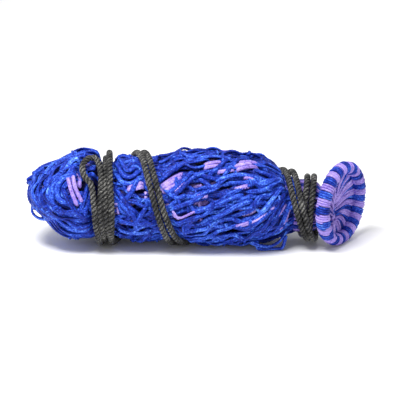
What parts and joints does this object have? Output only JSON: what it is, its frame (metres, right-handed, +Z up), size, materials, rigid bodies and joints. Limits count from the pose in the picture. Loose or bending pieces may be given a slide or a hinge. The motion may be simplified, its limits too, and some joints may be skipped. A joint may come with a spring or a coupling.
{
  "type": "hay net",
  "caption": "Knotted cord hay net rolled lengthwise into a bundle and tied with its own doubled drawcord, with a cord-lashed base ring at one end.",
  "frame": {"origin": "on the ground under the middle of the bundle", "axes": "+X along the roll towards the base ring, +Z up"},
  "size_m": [0.374, 0.124, 0.1069],
  "materials": {
    "net_blue": "braided cord, slightly glossy fibres",
    "net_lavender": "braided cord, slightly glossy fibres",
    "drawcord": "laid rope, matt fibres",
    "ring_metal": "plain drawn bar"
  },
  "bodies": {
    "bundle": {"net_end_roll": "net_blue", "net_short_roll": "net_blue", "net_main_roll": "net_blue", "net_neck": "net_blue", "net_end_core": "net_lavender", "net_short_core": "net_lavender", "net_main_core": "net_lavender", "drawcord_left_wraps": "drawcord", "drawcord_right_wraps": "drawcord", "drawcord_run_a": "drawcord", "drawcord_run_b": "drawcord"},
    "base": {"base_ring": "ring_metal", "base_gather": "net_lavender", "hitch_blue_01": "net_blue", "hitch_blue_02": "net_blue", "hitch_blue_03": "net_blue", "hitch_blue_04": "net_blue", "hitch_blue_05": "net_blue", "hitch_blue_06": "net_blue", "hitch_blue_07": "net_blue", "hitch_blue_08": "net_blue", "hitch_blue_09": "net_blue", "hitch_blue_10": "net_blue", "hitch_blue_11": "net_blue", "hitch_blue_12": "net_blue", "hitch_blue_13": "net_blue", "hitch_blue_14": "net_blue", "hitch_blue_15": "net_blue", "hitch_blue_16": "net_blue", "hitch_lavender_01": "net_lavender", "hitch_lavender_02": "net_lavender", "hitch_lavender_03": "net_lavender", "hitch_lavender_04": "net_lavender", "hitch_lavender_05": "net_lavender", "hitch_lavender_06": "net_lavender", "hitch_lavender_07": "net_lavender", "hitch_lavender_08": "net_lavender", "hitch_lavender_09": "net_lavender", "hitch_lavender_10": "net_lavender", "hitch_lavender_11": "net_lavender", "hitch_lavender_12": "net_lavender", "hitch_lavender_13": "net_lavender", "hitch_lavender_14": "net_lavender", "hitch_lavender_15": "net_lavender", "hitch_lavender_16": "net_lavender"},
    "drawcord_loop": {"drawcord_loop": "drawcord"}
  },
  "joints": [
    {"name": "base_ring_swing", "type": "hinge", "parent": "bundle", "child": "base", "pos_m": [0.118, 0, 0.043], "axis": [0, 0, 1], "range_deg": [0, 30]},
    {"name": "loop_lift", "type": "hinge", "parent": "bundle", "child": "drawcord_loop", "pos_m": [-0.11125, -0.02625, 0.09225], "axis": [0.1545, 0.8569, 0.4917], "range_deg": [0, 70]}
  ]
}
